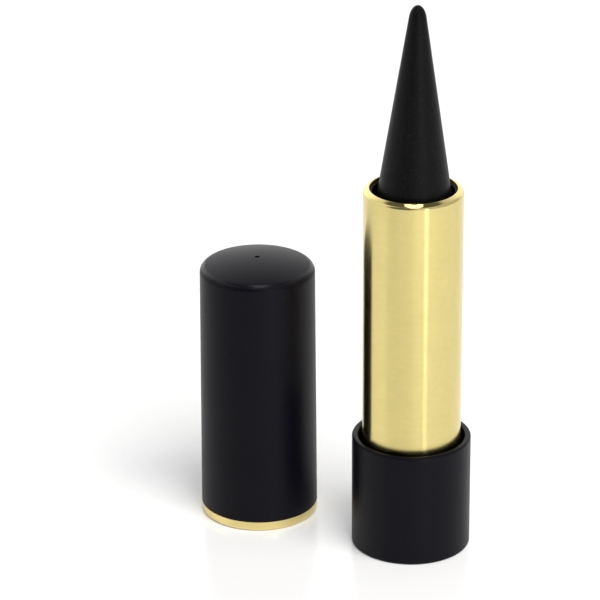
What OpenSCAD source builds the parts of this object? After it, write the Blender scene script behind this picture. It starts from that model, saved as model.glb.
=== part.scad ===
// Twist-up kohl container: a black case with a gold tube, a pointed kohl stick and a pull-off cap.
// The container stands at the origin with the stick wound up. The cap stands beside it.
// Radii are built up from the kohl outwards, and heights from the surface upwards.

/* [Kohl stick] */
// Diameter of the kohl stick below its point
kohl_d = 12.1; // [10:0.1:13]
// Radius of the blunt tip
tip_r = 1.4; // [0.6:0.1:2]
// Length of the blunt tip, as a share of its radius
tip_stretch = 1.8; // [1:0.1:2.4]
// Height of the tip above the mouth of the tube, wound up
tip_rise = 29.65; // [24:0.05:32]
// Depth of the tip below the mouth of the tube, wound down
tip_sink = 0.35; // [0.1:0.05:2]
// Depth below the mouth at which the point starts, wound up
shoulder_sink = 2.45; // [0.5:0.05:2.55]

/* [Carrier cup] */
// Outside height of the cup
cup_h = 11; // [8:0.5:12]
// Thickness of the cup's wall
cup_wall = 0.35; // [0.3:0.01:0.6]
// Thickness of the cup's floor
cup_floor = 1; // [0.8:0.1:1.5]
// Depth of the cup's rim below the mouth of the tube, wound up
cup_sink = 3.45; // [2.65:0.05:5]
// Number of ribs in the cup that key the kohl
cup_ribs = 4; // [3:1:8]
// Width of a rib in the cup
cup_rib_w = 0.6; // [0.4:0.1:1]
// Depth of a rib in the cup
cup_rib_t = 0.7; // [0.3:0.1:1]
// Diameter of the filling hole in the cup's floor
fill_d = 4; // [2:0.5:6]
// Diameter of the two drive pins
pin_d = 1.6; // [1:0.1:2]
// Height of the pins above the underside of the cup
pin_up = 1.5; // [1.2:0.1:3]

/* [Winding mechanism] */
// Rise of the stick for one full turn
lead = 20; // [14:0.5:24]
// Depth of the spiral groove
groove_t = 0.36; // [0.25:0.01:0.4]
// Thickness of the slotted tube's wall
guide_wall = 0.45; // [0.4:0.01:0.8]
// Thickness of the spiral sleeve's wall
sleeve_wall = 0.6; // [0.55:0.01:1]
// Thickness of the spiral sleeve's bottom flange
flange_t = 1; // [0.6:0.1:2]
// Height of the guide's foot inside the base
foot_h = 8.6; // [6:0.1:9]
// Thickness of the guide's floor and of the top of its foot
guide_floor = 1.1; // [0.8:0.1:1.5]
// Thickness of the foot's outer wall
foot_wall = 0.8; // [0.6:0.1:1]
// Number of webs that stiffen the foot
foot_webs = 6; // [3:1:8]
// Width of a web in the foot
web_w = 0.8; // [0.6:0.1:1.2]
// Height of the snap lip at the top of the slotted tube
snap_h = 0.3; // [0.2:0.05:0.5]
// How far the snap lip stands over the bore of the sleeve
snap_over = 0.24; // [0.1:0.01:0.3]
// Thickness of the brake ring
ring_t = 0.9; // [0.6:0.05:0.95]

/* [Gold tube] */
// Length of the gold tube above the rim of the base
tube_rise = 42.15; // [38:0.05:50]
// Thickness of the gold tube's wall
shell_wall = 0.25; // [0.2:0.01:0.4]
// Thickness of the turned-in lip at the mouth
lip_t = 0.53; // [0.3:0.01:0.6]
// Angle through which the lip is turned in
lip_a = 60; // [50:1:75]
// Outer rounding of the bend where the lip is turned in
lip_r = 0.62; // [0.5:0.02:0.66]
// Rounding of the lip's edge
lip_edge_r = 0.12; // [0.08:0.01:0.18]
// How far the lip covers the edge of the slotted tube
lip_over = 0.07; // [0.05:0.01:0.3]

/* [Base] */
// Height of the base
base_h = 18.8; // [15:0.1:24]
// Thickness of the base's wall
base_wall = 1; // [0.8:0.1:1.5]
// Thickness of the base's floor
base_floor = 1.4; // [1.2:0.1:2]
// Open gap between the gold tube and the base's wall
base_gap = 0.63; // [0.5:0.01:1]
// Rounding of the base's rim
rim_r = 0.35; // [0.1:0.05:0.4]
// Rounding of the base's bottom edge
heel_r = 0.4; // [0.1:0.05:0.8]
// Number of ribs in the base that grip the foot
grip_ribs = 12; // [6:1:24]
// Width of a grip rib in the base
grip_w = 0.8; // [0.5:0.1:1.2]
// Height of a grip rib in the base
grip_t = 0.1; // [0.06:0.01:0.15]

/* [Cap] */
// Room between the mouth of the tube and the end of the cap's bore, with the cap on
cap_head = 0.35; // [0.3:0.05:10]
// How far the cap's side lies inside the base's outline at its mouth
cap_inset = 0.03; // [0:0.01:0.2]
// How much the cap's radius shrinks towards its top
cap_taper = 0.21; // [0:0.01:0.4]
// Radius of the ball that domes the cap's top
dome_r = 28; // [20:1:80]
// Rounding of the cap's top edge
crown_r = 1.3; // [0.8:0.1:2]
// Thickness of the cap's top in the middle
crown_t = 1.9; // [1.4:0.1:2.4]
// Rounding at the end of the cap's bore
bore_end_r = 1.2; // [0.5:0.1:1.5]
// Diameter of the moulding mark on the crown
gate_d = 0.8; // [0.4:0.1:1.5]
// Depth of the moulding mark
gate_t = 0.15; // [0.1:0.05:0.4]
// Place of the standing cap to the left of the container
cap_left = 24.5; // [21:0.1:40]
// Place of the standing cap behind the container
cap_behind = 12.1; // [0:0.1:30]

/* [Cap ring and liner] */
// Height of the gold ring that shows below the cap's side
ring_h = 1.6; // [1:0.1:3]
// Rounding of the gold ring's lower edge
ring_r = 0.55; // [0.2:0.05:0.6]
// Thickness of the gold ring's skirt inside the cap
skirt_t = 0.25; // [0.2:0.01:0.35]
// Height of the gold ring's skirt inside the cap
skirt_h = 5; // [3:0.5:12]
// Thickness of the liner's wall
liner_t = 0.45; // [0.4:0.01:0.6]
// Distance from the liner's upper edge to the rounded end of the cap's bore
liner_gap = 3; // [0.5:0.5:15]
// Depth of the liner's edge inside the gold ring
liner_sink = 0.3; // [0.1:0.1:1]
// Number of ribs in the liner that grip the gold tube
liner_ribs = 6; // [3:1:12]
// Width of a rib in the liner
liner_rib_w = 0.8; // [0.5:0.1:1.2]
// Distance from the liner's lower edge to its ribs
liner_rib_start = 4; // [2:0.5:10]

/* [Fits] */
// Clearance of the kohl in its cup
kohl_fit = 0.02; // [0.01:0.01:0.05]
// Clearance of the cup in the slotted tube
cup_run = 0.08; // [0.05:0.01:0.1]
// Clearance of the spiral sleeve on the slotted tube
sleeve_run = 0.06; // [0.04:0.01:0.1]
// Clearance of the spiral sleeve in the gold tube
shell_fit = 0.01; // [0.01:0.01:0.05]
// Clearance at the ends of the turning sleeve
end_run = 0.06; // [0.04:0.01:0.1]
// Clearance of a pin in its slot and in its groove
pin_run = 0.12; // [0.08:0.01:0.2]
// Clearance between the end of a pin and the bottom of its groove
pin_end_run = 0.1; // [0.08:0.01:0.15]
// Clearance of a pressed-in piece
press_fit = 0.02; // [0.01:0.01:0.05]
// Clearance of the liner round the gold tube
liner_run = 0.15; // [0.1:0.01:0.2]
// Clearance of the liner's ribs round the gold tube
liner_grip = 0.04; // [0.02:0.01:0.08]
// Clearance between the sleeve's flange and the base
flange_run = 0.2; // [0.1:0.05:0.3]
// Free travel of the cup below its lowest place
cup_free = 0.5; // [0.3:0.1:1]

/* [Hidden] */
$fn = 96;

// Length by which a cutting body runs past the face that it cuts
past = 1;

// Radii, from the kohl outwards
kohl_r = kohl_d / 2;
cup_bore_r = kohl_r + kohl_fit;
cup_r = cup_bore_r + cup_wall;
guide_bore_r = cup_r + cup_run;
guide_r = guide_bore_r + guide_wall;
sleeve_bore_r = guide_r + sleeve_run;
groove_r = sleeve_bore_r + groove_t;
sleeve_r = sleeve_bore_r + sleeve_wall;
shell_bore_r = sleeve_r + shell_fit;
shell_r = shell_bore_r + shell_wall;
base_bore_r = shell_r + base_gap;
base_r = base_bore_r + base_wall;
mouth_r = guide_r - lip_over;
hollow_r = guide_bore_r - guide_wall;
foot_r = base_bore_r - grip_t - press_fit;
flange_r = base_bore_r - flange_run;
snap_r = sleeve_bore_r + snap_over;

// Heights, from the surface upwards, with the stick wound up
shell_top = base_h + tube_rise;
lip_under = shell_top - lip_t;
guide_top = lip_under - end_run;
sleeve_top = guide_top - snap_h - end_run;
lip_bend_r = min(lip_r - shell_wall, lip_under - sleeve_top - end_run);
foot_top = base_floor + foot_h;
ring_depth = ring_t / 2 + press_fit;
flange_under = foot_top - ring_depth + ring_t + end_run;
flange_top = flange_under + flange_t;
stroke = tip_rise + tip_sink;
cup_top = shell_top - cup_sink;
cup_under = cup_top - cup_h;
cup_seat = cup_under + cup_floor;
guide_seat = cup_under - stroke - cup_free;
tip_z = shell_top + tip_rise;

// Middles of the two roundings of the lip, whose top slopes between them
edge_mid_r = mouth_r + lip_edge_r;
edge_mid_z = shell_top - lip_edge_r;
bend_mid_r = shell_r - lip_r;
bend_mid_z = edge_mid_z - (lip_r - lip_edge_r - cos(lip_a) * (edge_mid_r - bend_mid_r)) / sin(lip_a);

// Drive pins, and the circle of the brake ring in the top of the foot
pin_r = pin_d / 2;
pin_z = cup_under + pin_up;
pin_reach = groove_r - pin_end_run;
ring_mid_r = (guide_r + foot_r) / 2;

// Spiral groove: a sector of the sleeve, turned as it rises, with steps of slice_a degrees
slot_r = pin_r + pin_run;
groove_slope = atan(lead / (2 * PI * sleeve_bore_r));
groove_half_a = 360 * slot_r / cos(groove_slope) / lead;
groove_h = stroke + 2 * slot_r;
groove_turn = 360 * groove_h / lead;
groove_sides = 6;
slice_a = 9;

// Cap, measured from its own mouth upwards
liner_bore_r = shell_r + liner_run;
liner_rib_r = shell_r + liner_grip;
liner_r = liner_bore_r + liner_t;
cap_bore_r = liner_r + press_fit;
skirt_r = cap_bore_r + skirt_t;
skirt_top = ring_h + skirt_h;
cap_r = base_r - cap_inset;
cap_top_r = cap_r - cap_taper;
bore_end = tube_rise + cap_head;
cap_h = bore_end + crown_t;
crown_mid_r = cap_top_r - crown_r;
crown_mid_z = cap_h - dome_r + sqrt(pow(dome_r - crown_r, 2) - pow(crown_mid_r, 2));
crown_join_r = crown_mid_r * dome_r / (dome_r - crown_r);

// What a rounding of radius r takes off a corner that lies at the point "at".
// Quarter 0 is a top right corner, and the others follow anticlockwise.
module corner(at, r, quarter) {
    translate(at)
        rotate(90 * quarter)
            translate([-r, -r])
                difference() {
                    square(r + past);
                    circle(r);
                }
}

// What a rounding of radius r takes off the corner between two walls that face the angles a1 and a2
module bend(middle, r, a1, a2) {
    reach = (r + past) / cos((a2 - a1) / 2);
    halfway = (a1 + a2) / 2;
    translate(middle)
        difference() {
            polygon([
                [0, 0],
                [r * cos(a1), r * sin(a1)],
                [reach * cos(halfway), reach * sin(halfway)],
                [r * cos(a2), r * sin(a2)],
            ]);
            circle(r);
        }
}

// Height of the lip's sloping top at radius r
function lip_slope_z(r) = bend_mid_z + (lip_r - cos(lip_a) * (r - bend_mid_r)) / sin(lip_a);

// Half section of a plain ring
module ring_section(r_in, r_out, z_low, z_high) {
    translate([r_in, z_low]) square([r_out - r_in, z_high - z_low]);
}

// Straight ribs on the inside of a bore, each reaching in to radius r_crest
module bore_ribs(count, width, r_crest, r_root, z_low, z_high) {
    for (i = [0 : count - 1])
        rotate(360 * i / count)
            intersection() {
                translate([0, -width / 2, z_low]) cube([r_root + past, width, z_high - z_low]);
                rotate_extrude() ring_section(r_crest, r_root, z_low, z_high);
            }
}

// Black outer cup of the base, with a rounded rim and with grip ribs inside
module base_shell() {
    color([0.02, 0.02, 0.025])
        union() {
            rotate_extrude()
                difference() {
                    square([base_r, base_h]);
                    translate([0, base_floor]) square([base_bore_r, base_h]);
                    corner([base_r, 0], heel_r, 3);
                    corner([base_r, base_h], rim_r, 0);
                    corner([base_bore_r, base_h], rim_r, 1);
                }
            bore_ribs(grip_ribs, grip_w, foot_r + press_fit, base_bore_r + base_wall / 2,
                      base_floor, foot_top - rim_r);
        }
}

// Slotted tube on a hollow foot. The pins of the cup run in its two slots
module guide_tube() {
    color([0.03, 0.03, 0.035])
        difference() {
            rotate_extrude()
                difference() {
                    union() {
                        ring_section(0, foot_r, base_floor, foot_top);
                        ring_section(0, guide_r, base_floor, guide_top);
                        ring_section(guide_bore_r, snap_r, guide_top - snap_h, guide_top);
                    }
                    ring_section(0, guide_bore_r, guide_seat, guide_top + past);
                    ring_section(0, hollow_r, base_floor - past, guide_seat - guide_floor);
                    ring_section(ring_mid_r - ring_t / 2 - press_fit,
                                 ring_mid_r + ring_t / 2 + press_fit,
                                 foot_top - ring_depth, foot_top + past);
                    corner([foot_r, base_floor], rim_r, 3);
                }
            foot_pockets();
            for (side = [0, 180])
                rotate(side) guide_slot();
        }
}

// Hollows under the foot, left between its webs
module foot_pockets() {
    difference() {
        rotate_extrude()
            ring_section(guide_r, foot_r - foot_wall, base_floor - past,
                         foot_top - ring_depth - guide_floor);
        for (i = [0 : foot_webs - 1])
            rotate(360 * i / foot_webs)
                translate([0, -web_w / 2, base_floor - 2 * past])
                    cube([foot_r, web_w, foot_h + 2 * past]);
    }
}

// One slot in the guide's wall, as long as the stroke, with round ends
module guide_slot() {
    for (z = [pin_z - stroke, pin_z])
        translate([guide_bore_r - past, 0, z])
            rotate([0, 90, 0]) cylinder(r = slot_r, h = guide_wall + 2 * past);
    translate([guide_bore_r - past, -slot_r, pin_z - stroke])
        cube([guide_wall + 2 * past, 2 * slot_r, stroke]);
}

// Elastic ring that holds the sleeve, and with it the stick, where it was wound to
module brake_ring() {
    color([0.12, 0.12, 0.12])
        rotate_extrude()
            translate([ring_mid_r, foot_top - ring_depth + ring_t / 2])
                circle(d = ring_t);
}

// Sleeve with two spiral grooves in its bore, on a flange that runs on the brake ring
module spiral_sleeve() {
    color([0.85, 0.85, 0.8])
        difference() {
            rotate_extrude() {
                ring_section(sleeve_bore_r, sleeve_r, flange_under, sleeve_top);
                ring_section(sleeve_bore_r, flange_r, flange_under, flange_top);
            }
            for (side = [0, 180])
                rotate(side) spiral_groove();
        }
}

// The space that one groove takes. Its upper end lies round the pin, wound up
module spiral_groove() {
    reach_in = sleeve_bore_r - 2 * sleeve_run;
    arc = [for (i = [0 : groove_sides]) groove_half_a * (2 * i / groove_sides - 1)];
    outline = concat(
        [for (a = arc) groove_r * [cos(a), sin(a)]],
        [for (a = [groove_half_a, -groove_half_a]) reach_in * [cos(a), sin(a)]]
    );
    translate([0, 0, pin_z - stroke - slot_r])
        rotate(360 * slot_r / lead - groove_turn)
            linear_extrude(height = groove_h, twist = -groove_turn,
                           slices = ceil(groove_turn / slice_a), segments = len(outline))
                polygon(outline);
}

// Gold tube, drawn from sheet, with its mouth turned in over the mechanism
module gold_shell() {
    color([0.85, 0.7, 0.35])
        rotate_extrude()
            difference() {
                ring_section(mouth_r, shell_r, flange_top, shell_top + lip_t);
                difference() {
                    ring_section(0, shell_bore_r, flange_top - past, lip_under);
                    corner([shell_bore_r, lip_under], lip_bend_r, 0);
                }
                polygon([
                    [mouth_r - past, lip_slope_z(mouth_r - past)],
                    [shell_r + past, lip_slope_z(shell_r + past)],
                    [shell_r + past, shell_top + lip_t + past],
                    [mouth_r - past, shell_top + lip_t + past],
                ]);
                bend([bend_mid_r, bend_mid_z], lip_r, 0, lip_a);
                bend([edge_mid_r, edge_mid_z], lip_edge_r, lip_a, 180);
            }
}

// Cup that carries the kohl, with its two drive pins and its keying ribs
module carrier_cup() {
    color([0.06, 0.06, 0.065])
        union() {
            rotate_extrude()
                difference() {
                    ring_section(fill_d / 2, cup_r, cup_under, cup_top);
                    ring_section(0, cup_bore_r, cup_seat, cup_top + past);
                }
            bore_ribs(cup_ribs, cup_rib_w, cup_bore_r - cup_rib_t, cup_bore_r + cup_wall / 2,
                      cup_seat - cup_floor / 2, cup_top - cup_floor);
            for (side = [0, 180])
                rotate(side) drive_pin();
        }
}

// Round pin that reaches from the cup's wall through a slot into a groove
module drive_pin() {
    intersection() {
        translate([cup_bore_r + cup_wall / 2, 0, pin_z])
            rotate([0, 90, 0]) cylinder(r = pin_r, h = groove_r - cup_bore_r);
        translate([0, 0, cup_under - past]) cylinder(r = pin_reach, h = cup_h);
    }
}

// Pressed kohl: a round stick with a long point and a blunt, bullet-shaped tip, cast round the cup's ribs.
// The line from the shoulder meets the tip where it just touches it, found with the section squashed
// by tip_stretch, so that the tip is round.
module kohl_stick() {
    tip_steps = 10;
    shoulder = [kohl_r, shell_top - shoulder_sink];
    tip_mid_z = tip_z - tip_stretch * tip_r;
    point = [-kohl_r, (tip_mid_z - shoulder[1]) / tip_stretch];
    slope = atan(kohl_r / point[1]) - asin(tip_r / norm(point));
    tip_turns = [for (i = [0 : tip_steps - 1]) slope + (90 - slope) * i / tip_steps];
    outline = concat(
        [[0, cup_seat + kohl_fit], [kohl_r, cup_seat + kohl_fit], shoulder],
        [for (a = tip_turns) [tip_r * cos(a), tip_mid_z + tip_stretch * tip_r * sin(a)]],
        [[0, tip_z]]
    );
    color([0.04, 0.04, 0.045])
        difference() {
            rotate_extrude() polygon(outline);
            bore_ribs(cup_ribs, cup_rib_w + 2 * kohl_fit, cup_bore_r - cup_rib_t - kohl_fit,
                      cup_r, cup_under, cup_top - cup_floor + kohl_fit);
        }
}

// Sets a piece of the cap down in its place beside the container
module at_cap_place() {
    translate([-cap_left, cap_behind, 0]) children();
}

// Black cap, tapered a little towards its domed top, with a step in its bore for the ring's skirt
module cap_shell() {
    color([0.02, 0.02, 0.025])
        at_cap_place()
            difference() {
                rotate_extrude()
                    difference() {
                        union() {
                            polygon([[0, ring_h], [cap_r, ring_h],
                                     [cap_top_r, crown_mid_z], [0, crown_mid_z]]);
                            translate([crown_mid_r, crown_mid_z])
                                intersection() {
                                    circle(crown_r);
                                    square(crown_r);
                                }
                            intersection() {
                                translate([0, cap_h - dome_r]) circle(dome_r);
                                ring_section(0, crown_join_r, crown_mid_z, cap_h);
                            }
                        }
                        ring_section(0, skirt_r + press_fit, ring_h - past, skirt_top + press_fit);
                        difference() {
                            ring_section(0, cap_bore_r, ring_h, bore_end);
                            corner([cap_bore_r, bore_end], bore_end_r, 0);
                        }
                    }
                translate([0, 0, cap_h - gate_t])
                    cylinder(d = gate_d, h = gate_t + past);
            }
}

// Sleeve inside the cap, with ribs that grip the gold tube
module cap_liner() {
    liner_top = bore_end - bore_end_r - liner_gap;
    color([0.05, 0.05, 0.055])
        at_cap_place()
            union() {
                rotate_extrude()
                    difference() {
                        ring_section(liner_bore_r, liner_r, liner_sink, liner_top);
                        corner([liner_bore_r, liner_sink], liner_t / 2, 2);
                    }
                bore_ribs(liner_ribs, liner_rib_w, liner_rib_r, liner_bore_r + liner_t / 2,
                          liner_sink + liner_rib_start, liner_top);
            }
}

// Gold ring at the cap's mouth: a rounded lip that meets the base, and a skirt inside the cap
module cap_ring() {
    color([0.85, 0.7, 0.35])
        at_cap_place()
            rotate_extrude()
                difference() {
                    union() {
                        ring_section(cap_bore_r, cap_r, 0, ring_h);
                        ring_section(cap_bore_r, skirt_r, 0, skirt_top);
                    }
                    corner([cap_r, 0], ring_r, 3);
                }
}

base_shell();
guide_tube();
brake_ring();
spiral_sleeve();
gold_shell();
carrier_cup();
kohl_stick();
cap_shell();
cap_liner();
cap_ring();
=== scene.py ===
# %% [markdown]
# A twist-up kohl container, open, with its cap standing beside it.
# The solids, their places and their joints come packed as a fixed frame. Blender adds the looks: smooth
# turned shells in place of the faceted ones that show, a finish for every piece, a white studio and the camera.
# Each step says what the piece or finish is on the real object, how it could be made, and why it is made so.

# %% Load the frame
import math

import bmesh
import bpy
from mathutils import Matrix, Vector


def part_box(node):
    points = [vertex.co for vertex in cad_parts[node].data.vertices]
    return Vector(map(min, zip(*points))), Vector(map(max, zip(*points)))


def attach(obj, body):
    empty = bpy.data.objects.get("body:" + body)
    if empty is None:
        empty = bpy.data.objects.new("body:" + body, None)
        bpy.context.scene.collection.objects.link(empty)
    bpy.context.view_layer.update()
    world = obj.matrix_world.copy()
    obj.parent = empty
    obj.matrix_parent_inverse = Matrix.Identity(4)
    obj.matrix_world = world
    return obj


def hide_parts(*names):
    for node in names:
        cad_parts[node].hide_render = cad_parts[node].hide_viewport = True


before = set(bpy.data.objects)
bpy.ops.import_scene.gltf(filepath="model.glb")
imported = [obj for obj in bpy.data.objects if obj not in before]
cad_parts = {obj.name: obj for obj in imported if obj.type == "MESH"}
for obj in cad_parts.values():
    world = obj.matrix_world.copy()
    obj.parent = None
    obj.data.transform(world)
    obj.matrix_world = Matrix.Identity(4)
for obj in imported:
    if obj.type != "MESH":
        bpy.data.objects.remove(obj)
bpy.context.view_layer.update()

MM = 0.001

# %% [markdown]
# The camera stands a little above the object and half a metre away, with a long lens, as for a product
# picture. It could be placed by eye. Here its tilt, distance and lens were solved from the outlines of the
# round edges, so they are kept as real sizes: the point it looks at, its distance, its tilt and its roll.

# %% Camera
AIM = Vector((-17.69, 0, 42.02)) * MM
DISTANCE = 556.1 * MM
TILT = math.radians(23.20)
ROLL = math.radians(-0.268)
SENSOR = 36
LENS = 212.3


def add_camera():
    """Sets the camera on its line of sight, which runs along +Y and down by the tilt."""
    sight = Vector((0, math.cos(TILT), -math.sin(TILT)))
    data = bpy.data.cameras.new("camera")
    data.sensor_width = SENSOR
    data.lens = LENS
    made = bpy.data.objects.new("camera", data)
    turned = Matrix.Rotation(math.pi / 2 - TILT, 4, "X") @ Matrix.Rotation(ROLL, 4, "Z")
    made.matrix_world = Matrix.Translation(AIM - sight * DISTANCE) @ turned
    bpy.context.collection.objects.link(made)
    bpy.context.scene.camera = made
    return made


camera = add_camera()
print("camera at", [round(v / MM) for v in camera.matrix_world.translation], "mm")

# %% [markdown]
# Nearly all of this object was turned or moulded round. A round shell could be spun from a drawn profile, or
# stacked from cylinders. Here it is grown as on a lathe: one circle, extruded from point to point of an
# outline and scaled about the axis at each point. It leaves clean rings of faces that can be bevelled later.

# %% Turning a shell from an outline
SIDES = 192


def turn(name, outline, axis=(0, 0), solid=True):
    """Grows a round piece ring by ring. An outline is a list of (radius, height) in mm. A solid one starts and
    ends on a flat face, or ends in a point at radius 0. Any other is a ring, and ends where it starts."""
    bpy.ops.object.select_all(action="DESELECT")
    radius, height = outline[0]
    bpy.ops.mesh.primitive_circle_add(
        vertices=SIDES, radius=radius * MM, fill_type="NGON" if solid else "NOTHING",
        location=(axis[0] * MM, axis[1] * MM, height * MM))
    piece = bpy.context.object
    piece.name = piece.data.name = name
    bpy.ops.object.transform_apply(location=True, rotation=False, scale=False)
    bpy.ops.object.mode_set(mode="EDIT")
    bpy.ops.mesh.select_all(action="SELECT")
    for (radius, height), (next_radius, next_height) in zip(outline, outline[1:]):
        rise = (0, 0, (next_height - height) * MM)
        bpy.ops.mesh.extrude_region_move(TRANSFORM_OT_translate={"value": rise})
        if next_radius == 0:
            bpy.ops.mesh.merge(type="CENTER")
        elif next_radius != radius:
            share = next_radius / radius
            centre = (axis[0] * MM, axis[1] * MM, next_height * MM)
            bpy.ops.transform.resize(value=(share, share, 1), center_override=centre)
    bpy.ops.mesh.select_all(action="SELECT")
    bpy.ops.mesh.remove_doubles(threshold=0.0005 * MM)
    bpy.ops.mesh.normals_make_consistent(inside=False)
    return piece


def arc(middle, radius, start, end, steps):
    """Points of an outline on an arc round a middle point, between two angles in degrees."""
    angles = [math.radians(start + (end - start) * i / steps) for i in range(steps + 1)]
    return [(middle[0] + radius * math.cos(a), middle[1] + radius * math.sin(a)) for a in angles]


print("pieces are turned with", SIDES, "sides")

# %% [markdown]
# A moulded rim is never sharp, and its small rounding is what catches the light. It could be drawn into the
# outline. Beveling a ring of edges afterwards keeps the outline short and shows each rounding by its size.
# Ribs and slots are picked out of the wall by their angle, in the same way.

# %% Picking parts of a piece, and rounding its rims
NEAR = 0.002
CORNER_ANGLE = 35


def polar(point, axis):
    """A corner's radius and height in mm and its angle in degrees, round an axis given in mm."""
    x, y = point.x / MM - axis[0], point.y / MM - axis[1]
    return math.hypot(x, y), point.z / MM, math.degrees(math.atan2(y, x)) % 360


def off_place(angle, count):
    """Degrees from an angle to the nearest of so many places, spread evenly round the axis."""
    pitch = 360 / count
    return abs((angle + pitch / 2) % pitch - pitch / 2)


def pick(kind, test):
    """In edit mode, selects the verts, edges or faces whose every corner passes the test, and nothing else."""
    bpy.ops.mesh.select_mode(type={"verts": "VERT", "edges": "EDGE", "faces": "FACE"}[kind])
    bpy.ops.mesh.select_all(action="DESELECT")
    mesh = bpy.context.edit_object.data
    work = bmesh.from_edit_mesh(mesh)
    found = 0
    for item in getattr(work, kind):
        corners = [item] if kind == "verts" else item.verts
        if all(test(corner.co) for corner in corners):
            item.select_set(True)
            found += 1
    work.select_flush_mode()
    bmesh.update_edit_mesh(mesh)
    return found


def round_rim(at, rounding, axis=(0, 0), steps=6):
    """Bevels the ring of edges at one (radius, height) of the outline."""
    def on_ring(point):
        radius, height, _ = polar(point, axis)
        return abs(radius - at[0]) < NEAR and abs(height - at[1]) < NEAR
    found = pick("edges", on_ring)
    bpy.ops.mesh.bevel(offset=rounding * MM, segments=steps, affect="EDGES", clamp_overlap=False)
    return found


def finish_piece(piece, node, body):
    """Leaves edit mode, shades the piece smooth but for its corners, and puts it in the place of its node."""
    bpy.ops.mesh.select_all(action="SELECT")
    bpy.ops.mesh.normals_make_consistent(inside=False)
    bpy.ops.object.mode_set(mode="OBJECT")
    bpy.ops.object.shade_smooth_by_angle(angle=math.radians(CORNER_ANGLE))
    even = piece.modifiers.new("even_shading", "WEIGHTED_NORMAL")
    even.keep_sharp = True
    bpy.ops.object.modifier_apply(modifier=even.name)
    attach(piece, body)
    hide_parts(node)
    low, high = [[round(v / MM, 2) for v in corner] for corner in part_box(node)]
    print(node, "has", len(piece.data.polygons), "faces. Node from", low, "to", high, "mm")
    return piece


print("corners are picked within", NEAR, "mm, and edges under", CORNER_ANGLE, "degrees are shaded smooth")

# %% [markdown]
# The base is a black moulded cup, 19 mm across, with a rounded heel to stand on and a rounded rim. Inside it
# thin upright ribs grip the foot of the winding mechanism. It could be a thick-walled tube and a disc, but one
# closed cup is what the mould makes. Each rib is three rows of corners of the bore, pulled in by a tenth of a
# millimetre.

# %% Base shell
BASE_R, BASE_H = 9.5, 18.8
BASE_BORE_R, BASE_FLOOR = 8.5, 1.4
BASE_RIM, BASE_HEEL = 0.35, 0.4
RIB_COUNT, RIB_R, RIB_TOP = 12, 8.4, 9.65
RIB_END, RIB_HALF_ANGLE = 0.1, 2.9

base = turn("base_case", [
    (BASE_R, 0), (BASE_R, BASE_H), (BASE_BORE_R, BASE_H),
    (BASE_BORE_R, RIB_TOP), (BASE_BORE_R, RIB_TOP - RIB_END),
    (BASE_BORE_R, BASE_FLOOR + RIB_END), (BASE_BORE_R, BASE_FLOOR),
])


def on_grip_rib(point):
    """Whether a corner of the bore belongs to one of the ribs that grip the foot."""
    radius, height, angle = polar(point, (0, 0))
    on_bore = radius < BASE_BORE_R + NEAR
    between_ends = BASE_FLOOR + RIB_END / 2 < height < RIB_TOP - RIB_END / 2
    return on_bore and between_ends and off_place(angle, RIB_COUNT) < RIB_HALF_ANGLE


print("rib corners:", pick("verts", on_grip_rib))
rib_share = RIB_R / BASE_BORE_R
bpy.ops.transform.resize(value=(rib_share, rib_share, 1), center_override=(0, 0, 0))
round_rim((BASE_R, 0), BASE_HEEL)
for radius in (BASE_R, BASE_BORE_R):
    round_rim((radius, BASE_H), BASE_RIM)
base = finish_piece(base, "base_shell", "base")

# %% [markdown]
# The gold tube is drawn from thin sheet. At its mouth the sheet is bent inwards and ends in a sloping lip,
# which covers the mechanism and catches the light. Bevels could round a square lip, but this one is not square:
# its outline is an arc, the slope, and a small arc at the edge. The tube is a ring in section, so the outline
# ends where it starts. Its lowest 7 mm are inside the base.

# %% Gold tube
TUBE_R, TUBE_BORE_R, MOUTH_R = 7.87, 7.62, 6.88
TUBE_FOOT, LIP_UNDER, MOUTH = 11.49, 60.42, 60.95
TURNED_IN, BEND_R, EDGE_R, INNER_BEND = 60, 0.62, 0.12, 0.36

edge_r, edge_z = MOUTH_R + EDGE_R, MOUTH - EDGE_R
bend_r = TUBE_R - BEND_R
slope = math.radians(TURNED_IN)
bend_z = edge_z - (BEND_R - EDGE_R - math.cos(slope) * (edge_r - bend_r)) / math.sin(slope)
tube = turn("gold_tube", [
    (TUBE_R, TUBE_FOOT), *arc((bend_r, bend_z), BEND_R, 0, TURNED_IN, 12),
    *arc((edge_r, edge_z), EDGE_R, TURNED_IN, 180, 8), (MOUTH_R, LIP_UNDER),
    (TUBE_BORE_R, LIP_UNDER), (TUBE_BORE_R, TUBE_FOOT), (TUBE_R, TUBE_FOOT),
], solid=False)
round_rim((TUBE_BORE_R, LIP_UNDER), INNER_BEND)
print("the lip starts at", round(bend_z, 2), "mm and ends at", MOUTH, "mm")
tube = finish_piece(tube, "gold_shell", "winder")

# %% [markdown]
# The kohl is pressed wax and pigment, cast as a round stick with a long point. It could be a cone on a
# cylinder with a ball on top, with seams between them. Here one outline goes up the stick, along the line that
# just touches the bullet-shaped tip, and over the tip to the pole, where the last ring is merged.

# %% Kohl stick
KOHL_R, KOHL_FOOT, SHOULDER = 6.05, 47.52, 58.5
TIP, TIP_R, TIP_STRETCH = 90.6, 1.4, 1.8
TIP_LAST_RING, TIP_STEPS = 87, 14
KEY_COUNT, KEY_DEPTH, KEY_TOP = 4, 0.72, 56.52
KEY_END, KEY_HALF_ANGLE = 0.1, 3
LEANS_FROM = SHOULDER - 0.5

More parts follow.
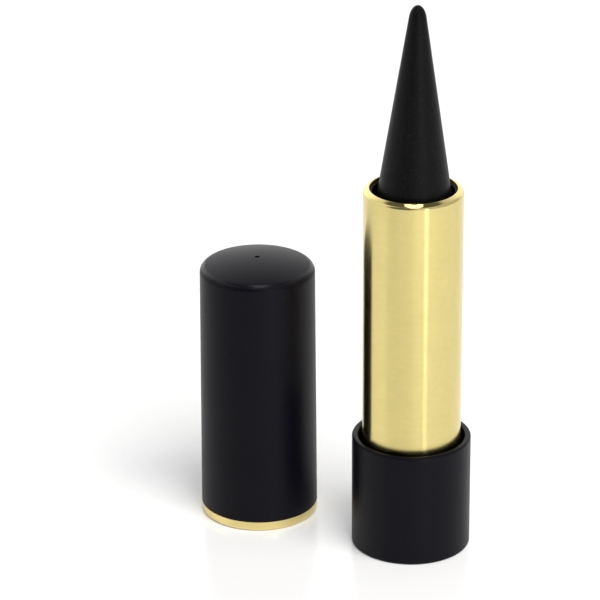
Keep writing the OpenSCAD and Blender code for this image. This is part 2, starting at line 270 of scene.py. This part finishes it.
tip_middle = TIP - TIP_STRETCH * TIP_R
reach = (tip_middle - SHOULDER) / TIP_STRETCH
touch = math.degrees(math.atan(KOHL_R / reach) - math.asin(TIP_R / math.hypot(KOHL_R, reach)))
bullet = arc((0, 0), TIP_R, touch, TIP_LAST_RING, TIP_STEPS)
tip = [(radius, tip_middle + TIP_STRETCH * rise) for radius, rise in bullet]
kohl = turn("kohl_point", [
    (KOHL_R, KOHL_FOOT), (KOHL_R, KEY_TOP - KEY_END), (KOHL_R, KEY_TOP),
    (KOHL_R, LEANS_FROM), (KOHL_R, SHOULDER), *tip, (0, TIP),
])


def in_key_slot(point):
    """Whether a corner of the stick's foot belongs to a slot that a rib of the cup has left."""
    _, height, angle = polar(point, (0, 0))
    return height < KEY_TOP - KEY_END / 2 and off_place(angle, KEY_COUNT) < KEY_HALF_ANGLE


print("slot corners:", pick("verts", in_key_slot), "and the tip starts at", round(tip[0][1], 1), "mm")
slot_share = (KOHL_R - KEY_DEPTH) / KOHL_R
bpy.ops.transform.resize(value=(slot_share, slot_share, 1), center_override=(0, 0, 0))

# %% [markdown]
# A cast stick is never quite straight, and this one leans a little to the right. So the part above the cup is
# turned by about half a degree round the foot, and the foot itself stays straight in its cup. In a script with
# no window this operator turns the other way round, so its angle is negative.

# %% Lean of the point
LEAN = 0.57

print("leaning corners:", pick("verts", lambda point: point.z / MM > LEANS_FROM - 0.05))
bpy.ops.transform.rotate(value=-math.radians(LEAN), orient_axis="Y", center_override=(0, 0, KOHL_FOOT * MM))
kohl = finish_piece(kohl, "kohl_stick", "carrier")
pole = max((corner.co for corner in kohl.data.vertices), key=lambda point: point.z)
print("tip at", [round(v / MM, 2) for v in pole], "mm")

# %% [markdown]
# The cap is a black moulded cup standing mouth down. Its wall tapers a little, its crown is round and its top
# bulges slightly, with the small round mark where the mould was filled. Its outline goes from the closed end
# of the bore down the inside, past a step for the gold ring's skirt, and up the outside to that mark.

# %% Cap shell
CAP_AXIS = (-24.5, 12.1)
CAP_R, CAP_TOP_R, CAP_H = 9.47, 9.26, 44.4
RING_H, STEP_R, STEP_TOP = 1.6, 8.76, 6.62
CAP_BORE_R, BORE_END, BORE_ROUNDING = 8.49, 42.5, 1.2
CROWN, DOME = 1.3, 28
GATE_R, GATE_DEPTH = 0.4, 0.15

dome_middle = CAP_H - DOME
crown_r = CAP_TOP_R - CROWN
crown_z = dome_middle + math.sqrt((DOME - CROWN) ** 2 - crown_r ** 2)
join = math.degrees(math.atan2(crown_z - dome_middle, crown_r))
gate = math.degrees(math.acos(GATE_R / DOME))
cap = turn("cap_case", [
    (CAP_BORE_R, BORE_END), (CAP_BORE_R, STEP_TOP), (STEP_R, STEP_TOP), (STEP_R, RING_H), (CAP_R, RING_H),
    *arc((crown_r, crown_z), CROWN, 0, join, 10),
    *arc((0, dome_middle), DOME, join, gate, 14)[1:],
    (GATE_R, CAP_H - GATE_DEPTH),
], axis=CAP_AXIS)
round_rim((CAP_BORE_R, BORE_END), BORE_ROUNDING, axis=CAP_AXIS)
print("crown meets the dome at radius", round(DOME * math.cos(math.radians(join)), 2), "mm")
cap = finish_piece(cap, "cap_shell", "cap")

# %% [markdown]
# A bright gold ring closes the cap's mouth. Its lip shows as a thin line between the closed cap and the base,
# and its skirt goes up inside the cap, between the shell and the liner. The lower edge is rounded to guide the
# cap over the tube. Like the tube it is a ring in section, turned in one go.

# %% Cap ring
SKIRT_R, SKIRT_TOP, RING_ROUNDING = 8.74, 6.6, 0.55

ring = turn("gold_ring", [
    (CAP_R, 0), (CAP_R, RING_H), (SKIRT_R, RING_H), (SKIRT_R, SKIRT_TOP),
    (CAP_BORE_R, SKIRT_TOP), (CAP_BORE_R, 0), (CAP_R, 0),
], axis=CAP_AXIS, solid=False)
round_rim((CAP_R, 0), RING_ROUNDING, axis=CAP_AXIS, steps=8)
ring = finish_piece(ring, "cap_ring", "cap")

# %% [markdown]
# Every finish is a small network of nodes. Wiring them one by one hides the idea, so two small classes let a
# finish be written as a sum. A Link is the output of a node, and arithmetic on it adds Math nodes. A Finish
# holds a material or the world, and one method of it adds any other node.

# %% Finishes as expressions
class Link:
    """The output of a node. Arithmetic on it adds Math nodes to the same finish."""

    def __init__(self, finish, socket):
        self.finish = finish
        self.socket = socket

    def math(self, operation, first, second):
        return self.finish.add("ShaderNodeMath", {"operation": operation}, {0: first, 1: second})

    def __add__(self, other):
        return self.math("ADD", self, other)

    def __sub__(self, other):
        return self.math("SUBTRACT", self, other)

    def __rsub__(self, other):
        return self.math("SUBTRACT", other, self)

    def __mul__(self, other):
        return self.math("MULTIPLY", self, other)

    __radd__ = __add__
    __rmul__ = __mul__

    def above(self, edge, width):
        """0 below an edge and 1 above it, with a soft step of this width between them."""
        sockets = {"Value": self, "From Min": edge - width / 2, "From Max": edge + width / 2}
        return self.finish.add("ShaderNodeMapRange", {"interpolation_type": "SMOOTHSTEP"}, sockets)


class Finish:
    """The nodes of a material or of the world."""

    def __init__(self, owner):
        owner.use_nodes = True
        self.owner = owner
        self.nodes = owner.node_tree.nodes
        self.links = owner.node_tree.links
        self.nodes.clear()

    def add(self, kind, settings, sockets, out=0):
        """Adds a node with its settings, puts numbers, colours or links in its sockets, and gives an output."""
        node = self.nodes.new(kind)
        for key, value in settings.items():
            setattr(node, key, value)
        for key, value in sockets.items():
            socket = node.inputs[key]
            if isinstance(value, Link):
                self.links.new(value.socket, socket)
            elif socket.type == "RGBA":
                socket.default_value = (*value, 1)
            else:
                socket.default_value = value
        return Link(self, node.outputs[out])

    def place(self, centre=(0, 0, 0), stretch=(1, 1, 1)):
        """The place on the piece, in metres from a centre, stretched along the axes."""
        here = self.add("ShaderNodeTexCoord", {}, {}, out="Object")
        moved = self.add("ShaderNodeVectorMath", {"operation": "SUBTRACT"}, {0: here, 1: centre})
        return self.add("ShaderNodeVectorMath", {"operation": "MULTIPLY"}, {0: moved, 1: stretch})

    def part(self, vector, axis):
        """One part of a vector: X, Y or Z."""
        return self.add("ShaderNodeSeparateXYZ", {}, {0: vector}, out=axis)

    def length(self, vector):
        """The length of a vector."""
        return self.add("ShaderNodeVectorMath", {"operation": "LENGTH"}, {0: vector}, out="Value")

    def height(self):
        """The height on the piece, in metres."""
        return self.part(self.add("ShaderNodeTexCoord", {}, {}, out="Object"), "Z")

    def seen_by(self, kind):
        """1 for this kind of ray, Camera or Glossy, and 0 for any other."""
        return self.add("ShaderNodeLightPath", {}, {}, out=f"Is {kind} Ray")

    def spots(self, where, size, detail=2.0):
        """Soft random spots of about this size in metres, from 0 to 1."""
        sockets = {"Vector": where, "Scale": 1 / size, "Detail": detail}
        return self.add("ShaderNodeTexNoise", {}, sockets)

    def blend(self, share, first, second):
        """A colour between two colours, by the share of the second."""
        sockets = {0: share, 6: first, 7: second}
        return self.add("ShaderNodeMix", {"data_type": "RGBA"}, sockets, out=2)

    def relief(self, height, depth):
        """The normal of a surface raised by height, from 0 to 1, times a depth in metres."""
        return self.add("ShaderNodeBump", {}, {"Strength": 1.0, "Distance": depth, "Height": height})

    def end(self, shader, kind="ShaderNodeOutputMaterial"):
        """Puts the shader in the output, and gives back the material or the world."""
        output = self.nodes.new(kind)
        self.links.new(shader.socket, output.inputs["Surface"])
        return self.owner


def dress(piece, material):
    """Gives a piece one material all over."""
    piece.data.materials.clear()
    piece.data.materials.append(material)


print("finishes can be written as sums")

# %% [markdown]
# The case is black plastic under a soft matte lacquer. Such a surface is dark in itself and shows the room
# only as a dim sheen, stronger at a glancing angle. A plain black would look like a hole. So it has the fine
# grain of sprayed lacquer, and a faint unevenness in its colour and its gloss from handling. Fingers rub the
# edge of the cap's crown to a shine. That is a thin coat, laid on by the distance from the cap's axis and by
# the height, so that it stays on the crown when the cap moves.

# %% Case lacquer
LACQUER_GRAIN, HANDLED_PATCH, LACQUER_RELIEF = 0.22, 7, 0.004
LACQUER_DARK, LACQUER_LIGHT = (0.0018, 0.0017, 0.0042), (0.0032, 0.0030, 0.0060)
RUBBED_FROM_R, RUBBED_FROM_Z, RUBBED_FADE = 8.45, 42.68, 0.3


def crown_edge(finish):
    """1 on the edge of the cap's crown and 0 elsewhere."""
    from_axis = finish.place((CAP_AXIS[0] * MM, CAP_AXIS[1] * MM, 0), stretch=(1, 1, 0))
    outer = finish.length(from_axis).above(RUBBED_FROM_R * MM, RUBBED_FADE * MM)
    upper = finish.height().above(RUBBED_FROM_Z * MM, RUBBED_FADE * MM)
    return outer * upper


def case_lacquer():
    finish = Finish(bpy.data.materials.new("case_lacquer"))
    where = finish.place()
    grain = finish.spots(where, LACQUER_GRAIN * MM, 1.0)
    handled = finish.spots(where, HANDLED_PATCH * MM, 3.0)
    shader = finish.add("ShaderNodeBsdfPrincipled", {}, {
        "Base Color": finish.blend(handled, LACQUER_DARK, LACQUER_LIGHT),
        "Roughness": 0.35 + 0.06 * handled + 0.03 * grain,
        "Specular IOR Level": 0.12,
        "Coat Weight": 0.3 * crown_edge(finish),
        "Coat Roughness": 0.17,
        "Normal": finish.relief(grain, LACQUER_RELIEF * MM),
    })
    return finish.end(shader)


lacquer = case_lacquer()
for piece in (base, cap):
    dress(piece, lacquer)
print("lacquer on", base.name, "and", cap.name)

# %% [markdown]
# The tube is aluminium sheet, brushed to a satin and anodised pale gold, with a polished lip at its mouth. The
# fine lines run round the tube, so they spread a reflection up and down but hardly sideways. That is
# anisotropy. The lines are noise squeezed along the axis, with softer brushed marks among them, and the satin
# turns to a polish only where the sheet is bent inwards.

# %% Satin gold
ROUND_THE_TUBE, ALONG_THE_TUBE, HALF_ROUND = (0.03, 0.03, 1), (1, 1, 0.06), (0.35, 0.35, 1)
LINE, STREAK, CLOUD, BRUSH_MARK, GOLD_RELIEF = 0.16, 3.2, 4, 0.5, 0.0003
SATIN_DARK, SATIN_LIGHT = (0.63, 0.525, 0.205), (0.89, 0.755, 0.32)
POLISHED_FROM, POLISHED_FADE, POLISHED_ROUGHNESS = 60.35, 0.1, 0.08


def satin_gold():
    finish = Finish(bpy.data.materials.new("satin_gold"))
    lines = finish.spots(finish.place(stretch=ROUND_THE_TUBE), LINE * MM, 2.0)
    streaks = finish.spots(finish.place(stretch=ALONG_THE_TUBE), STREAK * MM, 2.0)
    clouds = finish.spots(finish.place(), CLOUD * MM, 3.0)
    brushed = finish.spots(finish.place(stretch=HALF_ROUND), BRUSH_MARK * MM, 3.0)
    polished = finish.height().above(POLISHED_FROM * MM, POLISHED_FADE * MM)
    tone = 0.3 * clouds + 0.15 * lines + 0.2 * streaks + 0.35 * brushed
    satin = 0.165 + 0.02 * lines + 0.04 * clouds
    shader = finish.add("ShaderNodeBsdfPrincipled", {}, {
        "Base Color": finish.blend(tone, SATIN_DARK, SATIN_LIGHT),
        "Metallic": 1.0,
        "Roughness": satin * (1 - polished) + POLISHED_ROUGHNESS * polished,
        "Anisotropic": 0.8,
        "Anisotropic Rotation": 0.25,
        "Normal": finish.relief(lines * (1 - polished), GOLD_RELIEF * MM),
    })
    return finish.end(shader)


dress(tube, satin_gold())
print("satin gold on", tube.name)

# %% [markdown]
# The cap's ring has the same colour but is polished, so that it shines as a thin bright line. It keeps a trace
# of the turning lines, and a little wear in its gloss.

# %% Polished gold
RING_LINE, RING_WEAR = 0.12, 2.5
RING_DARK, RING_LIGHT = (0.80, 0.66, 0.27), (0.86, 0.72, 0.33)


def polished_gold():
    finish = Finish(bpy.data.materials.new("polished_gold"))
    lines = finish.spots(finish.place(stretch=ROUND_THE_TUBE), RING_LINE * MM, 2.0)
    wear = finish.spots(finish.place(), RING_WEAR * MM, 3.0)
    shader = finish.add("ShaderNodeBsdfPrincipled", {}, {
        "Base Color": finish.blend(wear, RING_DARK, RING_LIGHT),
        "Metallic": 1.0,
        "Roughness": 0.07 + 0.06 * wear,
        "Normal": finish.relief(lines, GOLD_RELIEF * MM),
    })
    return finish.end(shader)


dress(ring, polished_gold())
print("polished gold on", ring.name)

# %% [markdown]
# Pressed kohl is a dense black powder held by wax. It has a fine grain, faint lines where it left the mould,
# and a weak waxy sheen. It is a little rougher than the lacquer, and its grain is what tells them apart.

# %% Pressed kohl
KOHL_GRAIN, KOHL_SPECK, MOULD_LINE, KOHL_RELIEF = 0.28, 0.16, 0.5, 0.02
DOWN_THE_STICK = (1, 1, 0.05)
KOHL_DARK, KOHL_LIGHT, SPECK_GREY = (0.0012, 0.0012, 0.0015), (0.0036, 0.0034, 0.0040), (0.05, 0.05, 0.05)


def pressed_kohl():
    finish = Finish(bpy.data.materials.new("pressed_kohl"))
    where = finish.place()
    grain = finish.spots(where, KOHL_GRAIN * MM, 3.0)
    specks = finish.spots(where, KOHL_SPECK * MM, 1.0).above(0.72, 0.08)
    drawn = finish.spots(finish.place(stretch=DOWN_THE_STICK), MOULD_LINE * MM, 2.0)
    surface = 0.7 * grain + 0.3 * drawn
    powder = finish.blend(surface, KOHL_DARK, KOHL_LIGHT)
    shader = finish.add("ShaderNodeBsdfPrincipled", {}, {
        "Base Color": finish.blend(0.6 * specks, powder, SPECK_GREY),
        "Roughness": 0.38 + 0.08 * grain,
        "Specular IOR Level": 0.125,
        "Normal": finish.relief(surface, KOHL_RELIEF * MM),
    })
    return finish.end(shader)


dress(kohl, pressed_kohl())
print("pressed kohl on", kohl.name)

# %% [markdown]
# The inner pieces are plain mouldings, and only their edges show at the mouth of the tube: black for the guide,
# the cup and the liner, natural white for the spiral sleeve, and rubber for the brake ring. Each has the slight
# waviness that moulded plastic has, and the rubber a finer, duller grain.

# %% Inner mouldings
FLOW_MARK, MOULDED_RELIEF = 3, 0.003


def moulding(name, dark, light, roughness, shine, grain_size):
    """Moulded plastic or rubber: two near colours, a roughness, a specular level and the size of its grain."""
    finish = Finish(bpy.data.materials.new(name))
    flow = finish.spots(finish.place(stretch=(1, 1, 0.3)), FLOW_MARK * MM, 2.0)
    grain = finish.spots(finish.place(), grain_size * MM, 2.0)
    shader = finish.add("ShaderNodeBsdfPrincipled", {}, {
        "Base Color": finish.blend(flow, dark, light),
        "Roughness": roughness + 0.08 * grain,
        "Specular IOR Level": shine,
        "Normal": finish.relief(grain, MOULDED_RELIEF * MM),
    })
    return finish.end(shader)


def dress_node(node, material):
    """Puts a material on a node that came with the frame, in the slots that its mesh already has."""
    made = bpy.data.objects[node]
    if not made.data.materials:
        made.data.materials.append(material)
    for place in made.material_slots:
        place.material = material
    print(material.name, "on", node)


black_moulding = moulding(
    "black_moulding", (0.005, 0.005, 0.006), (0.008, 0.008, 0.009), roughness=0.5, shine=0.1, grain_size=0.5)
natural_moulding = moulding(
    "natural_moulding", (0.70, 0.69, 0.63), (0.78, 0.77, 0.71), roughness=0.35, shine=0.5, grain_size=0.6)
greased_rubber = moulding(
    "greased_rubber", (0.02, 0.02, 0.02), (0.035, 0.035, 0.034), roughness=0.7, shine=0.3, grain_size=0.12)
for node in ("guide_tube", "carrier_cup", "cap_liner"):
    dress_node(node, black_moulding)
dress_node("spiral_sleeve", natural_moulding)
dress_node("brake_ring", greased_rubber)

# %% [markdown]
# The object stands on a wide white table. A curved backdrop would do, but the camera looks down far enough
# for a flat floor to fill the picture. The floor is near white with a light gloss, which faintly mirrors the
# feet of the black cases. A little light of its own, seen only by the camera and in reflections, takes it up to
# the paper white of a product picture. It is weaker close in front of the object, where it would wash the
# mirrored cases out, and stronger far away, where the lamps no longer reach.

# %% Floor
FLOOR_SIZE = 4.0
FLOOR_PATCH, FLOOR_DARK, FLOOR_LIGHT = 60, (0.875, 0.88, 0.895), (0.885, 0.89, 0.90)
GROUP_MIDDLE = (-17 * MM, 0, 0)
BEHIND_FROM, BEHIND_FADE = 3, 14
AROUND_FROM, AROUND_FADE = 115, 120
FAR_FROM, FAR_FADE = 450, 500
FRONT_GLOW, PLAIN_GLOW, FAR_GLOW = (0.5, 0.5, 0.5), (1.0, 1.0, 1.0), (3.0, 3.0, 3.0)
SEEN_GLOW, MIRRORED_GLOW = 0.15, 0.05


def floor_glow(finish):
    """The colour of the floor's own light: weak close in front of the object, and strong far away."""
    behind = finish.part(finish.place(), "Y").above(BEHIND_FROM * MM, BEHIND_FADE * MM)
    away = finish.length(finish.place(GROUP_MIDDLE))
    front = (1 - behind) * (1 - away.above(AROUND_FROM * MM, AROUND_FADE * MM))
    near = finish.blend(1 - front, FRONT_GLOW, PLAIN_GLOW)
    return finish.blend(away.above(FAR_FROM * MM, FAR_FADE * MM), near, FAR_GLOW)


def white_floor():
    finish = Finish(bpy.data.materials.new("white_floor"))
    patches = finish.spots(finish.place(), FLOOR_PATCH * MM, 3.0)
    shader = finish.add("ShaderNodeBsdfPrincipled", {}, {
        "Base Color": finish.blend(patches, FLOOR_DARK, FLOOR_LIGHT),
        "Roughness": 0.2,
        "Specular IOR Level": 0.8,
        "Emission Color": floor_glow(finish),
        "Emission Strength": SEEN_GLOW * finish.seen_by("Camera") + MIRRORED_GLOW * finish.seen_by("Glossy"),
    })
    return finish.end(shader)


bpy.ops.object.select_all(action="DESELECT")
bpy.ops.mesh.primitive_plane_add(size=FLOOR_SIZE, location=(0, 0, 0))
floor = bpy.context.object
floor.name = floor.data.name = "floor"
dress(floor, white_floor())
print("floor", FLOOR_SIZE, "m wide")

# %% [markdown]
# The light is a white room. A lamp alone would leave metal black, because metal only shows what is round it.
# So the world is pale in reflections and softer as a light. It is brightest at the back, and dimmer to the
# right and overhead, as a studio is beside its lamps. A dark patch to the left of the camera draws the fine
# dark line along the lip of the tube, and keeps the kohl black.

# %% White room
DARK_SIDE = Vector((-0.5, -0.85, 0.38)).normalized()
DARK_EDGE, CEILING_EDGE, BACK_EDGE = (0.86, 0.16), (0.83, 0.1), (0.6, 0.4)
WALL, LESS_AT_RIGHT, MORE_AT_BACK = 0.67, 0.23, 0.6
FILL, DARKEST = 0.15, 0.12


def room_wall(finish):
    """How bright the walls and the ceiling are in a reflection, over the darkest part of the room."""
    direction = finish.add("ShaderNodeTexCoord", {}, {}, out="Generated")
    towards = finish.add(
        "ShaderNodeVectorMath", {"operation": "DOT_PRODUCT"}, {0: direction, 1: DARK_SIDE}, out="Value")
    right, back, up = (finish.part(direction, axis) for axis in "XYZ")
    wall = WALL - LESS_AT_RIGHT * right + MORE_AT_BACK * back.above(*BACK_EDGE)
    return wall * (1 - towards.above(*DARK_EDGE)) * (1 - up.above(*CEILING_EDGE))


def white_room():
    finish = Finish(bpy.data.worlds.new("white_room"))
    mirrored = finish.seen_by("Glossy") * (room_wall(finish) - (FILL - DARKEST))
    brightness = FILL + (1 - FILL) * finish.seen_by("Camera") + mirrored
    shader = finish.add("ShaderNodeBackground", {}, {"Color": (1.0, 1.0, 1.0), "Strength": brightness})
    return finish.end(shader, "ShaderNodeOutputWorld")


bpy.context.scene.world = white_room()
print("darker side of the room towards", [round(v, 2) for v in DARK_SIDE])

# %% [markdown]
# Three flat lamps shape the object. A wide one overhead glints on the lip of the tube and on the crown of the
# cap. A large soft one at the front right gives most of the light, and throws the pale shadow to the left and
# back. It stays out of reflections, where it would turn the blacks grey. A narrow upright one draws the bright
# line down the gold. The camera sees none of them.

# %% Lamps
def add_panel(name, at, towards, size, brightness):
    """A flat lamp. at and towards are places in mm, size is its width and height in mm, and its brightness is
    what a mirror would show of it, where 1 is white."""
    data = bpy.data.lights.new(name, "AREA")
    data.shape = "RECTANGLE"
    data.size, data.size_y = size[0] * MM, size[1] * MM
    data.energy = brightness * math.pi * data.size * data.size_y
    lamp = bpy.data.objects.new(name, data)
    sight = Vector(towards) - Vector(at)
    lamp.rotation_euler = sight.to_track_quat("-Z", "Y").to_euler()
    lamp.location = Vector(at) * MM
    lamp.visible_camera = False
    bpy.context.collection.objects.link(lamp)
    print(name, "gives", round(data.energy, 3), "W")
    return lamp


add_panel("top_panel", at=(9, -105, 640), towards=(9, -105, 0), size=(176, 510), brightness=2.4)
side = add_panel("side_panel", at=(472, -674, 980), towards=(-10, 5, 10), size=(1080, 1080), brightness=6.2)
side.data.color = (1.0, 0.985, 0.955)
side.visible_glossy = False
add_panel("line_panel", at=(209, -393, 100), towards=(0, 0, 40), size=(44, 190), brightness=4.6)

# %% [markdown]
# Blender adds looks and never size. The picture keeps the plain view transform, so that a colour renders as it
# is written.

# %% View transform
bpy.context.scene.view_settings.view_transform = "Standard"
bpy.context.view_layer.update()
